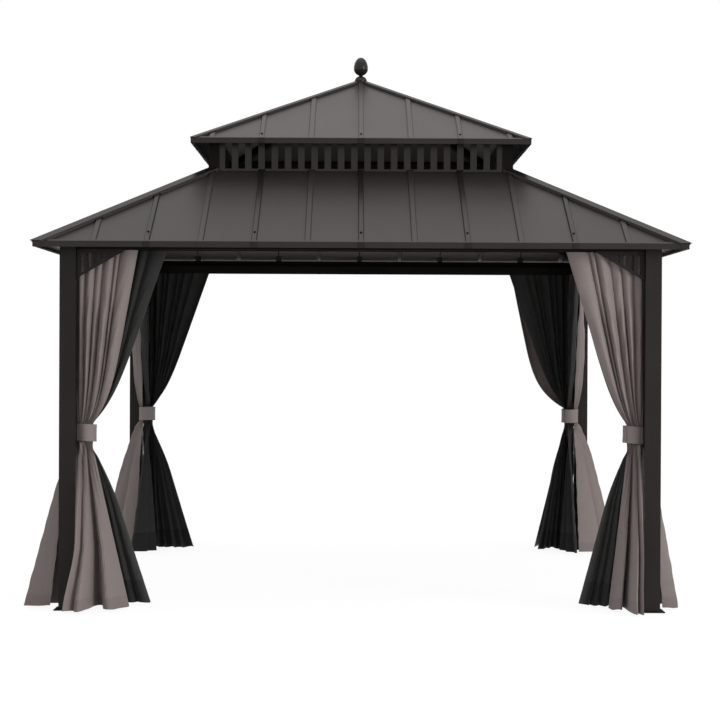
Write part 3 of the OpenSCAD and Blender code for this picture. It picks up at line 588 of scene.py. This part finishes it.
# %% Joint plates
def joint_plate(height):
    """Grid of a plate in front of the plane y = 0: a thin superellipse in y and z, along x, its ends closed
    on lines."""
    a = np.linspace(0, 2 * np.pi, 28, endpoint=False)[None, :]
    x = np.array([-0.021, -0.021, -0.0202, 0.0202, 0.021, 0.021])[:, None]
    size = np.array([0, 0.92, 1, 1, 0.92, 0])[:, None]
    across = 0.0015 * np.sign(np.cos(a)) * np.abs(np.cos(a)) ** 0.5
    up = 0.5 * height * np.sign(np.sin(a)) * np.abs(np.sin(a)) ** 0.4
    return np.stack([x + 0 * a, size * across - 0.0012, mix(up, 0.97 * up, size == 0)], -1)


LOWER_TRIM_Z, UPPER_TRIM_Z = 2.065, 2.737
lower_joints = on_slope(seam_x, 0, 0, LOWER_EAVE, LOWER_TRIM_Z, 0)
upper_joints = on_slope(short_x, 0, 0, UPPER_EAVE, UPPER_TRIM_Z, 0)
plates = grid_piece("trim_joint_plates", np.concatenate(
    [copies(joint_plate(PLATE_HEIGHT), *joints) for joints in (lower_joints, upper_joints)]),
    ring=True, weld=True)
plates.data.materials.append(PAINTS["frame_paint"])
print("joint plates", len(lower_joints[0]) + len(upper_joints[0]))

# %% [markdown]
# ## Studio
# A pale floor and a white surround. The floor keeps a faint shadow of the gazebo, because only part of
# its brightness is its own; the surround shows white to the camera and in reflections, while it lights
# the gazebo more gently from all round. One large soft lamp above gives the roof its bright eaves, and a
# smaller one, low on the right, shapes the folds of the cloth.

# %% Floor, world and lamps
SURROUND, FLOOR_GLOW, FLOOR_OWN = 0.68, 1.08, 0.85


def seen_directly(tree):
    """1 for rays from the camera, from a mirror or through glass, 0 for the light that falls on things."""
    path = node(tree, "ShaderNodeLightPath")
    seen = math(tree, "ADD", path.outputs["Is Camera Ray"], path.outputs["Is Glossy Ray"])
    return math(tree, "MINIMUM", math(tree, "ADD", seen, path.outputs["Is Transmission Ray"]), 1.0)


def studio_floor():
    """Large flat grid just under the ground plane, white to the camera with the shadow mixed in."""
    span = np.linspace(-90, 90, 3)
    x, y = np.meshgrid(span, span)
    mesh = bpy.data.meshes.new("floor")
    index = np.arange(9).reshape(3, 3)
    quads = np.stack([index[:-1, :-1], index[:-1, 1:], index[1:, 1:], index[1:, :-1]], -1).reshape(-1, 4)
    mesh.from_pydata(np.stack([x, y, 0 * x - 0.0005], -1).reshape(-1, 3), [], quads)
    floor = bpy.data.objects.new("floor", mesh)
    bpy.context.scene.collection.objects.link(floor)
    material = bpy.data.materials.new("floor_white")
    material.use_nodes = True
    tree = material.node_tree
    tree.nodes["Principled BSDF"].inputs["Base Color"].default_value = (0.9, 0.9, 0.9, 1)
    tree.nodes["Principled BSDF"].inputs["Roughness"].default_value = 0.9
    glow = node(tree, "ShaderNodeEmission", {"Color": (1, 1, 1, 1), "Strength": FLOOR_GLOW})
    share = math(tree, "MULTIPLY", seen_directly(tree), FLOOR_OWN)
    both = node(tree, "ShaderNodeMixShader", {0: share})
    tree.links.new(tree.nodes["Principled BSDF"].outputs[0], both.inputs[1])
    tree.links.new(glow.outputs[0], both.inputs[2])
    tree.links.new(both.outputs[0], tree.nodes["Material Output"].inputs["Surface"])
    floor.data.materials.append(material)
    return floor


studio_floor()
world = bpy.data.worlds.new("studio")
bpy.context.scene.world = world
world.use_nodes = True
tree = world.node_tree
level = math(tree, "MULTIPLY_ADD", seen_directly(tree), 1.0 - SURROUND, SURROUND)
tree.nodes["Background"].inputs["Color"].default_value = (1, 1, 1, 1)
tree.links.new(level, tree.nodes["Background"].inputs["Strength"])


def soft_lamp(name, size, power, place, aim):
    """Square area lamp of a size in metres at a place, turned to face a point."""
    data = bpy.data.lights.new(name, "AREA")
    data.shape, data.size, data.energy = "SQUARE", size, power
    lamp = bpy.data.objects.new(name, data)
    lamp.location = place
    lamp.rotation_euler = (Vector(aim) - Vector(place)).to_track_quat("-Z", "Y").to_euler()
    bpy.context.scene.collection.objects.link(lamp)


soft_lamp("overhead", size=7, power=130, place=(0, -1.5, 9), aim=(0, 0, 2))
soft_lamp("key", size=3, power=560, place=(9, -8, 3), aim=(0, 0, 1.2))
bpy.context.scene.view_settings.view_transform = "Standard"
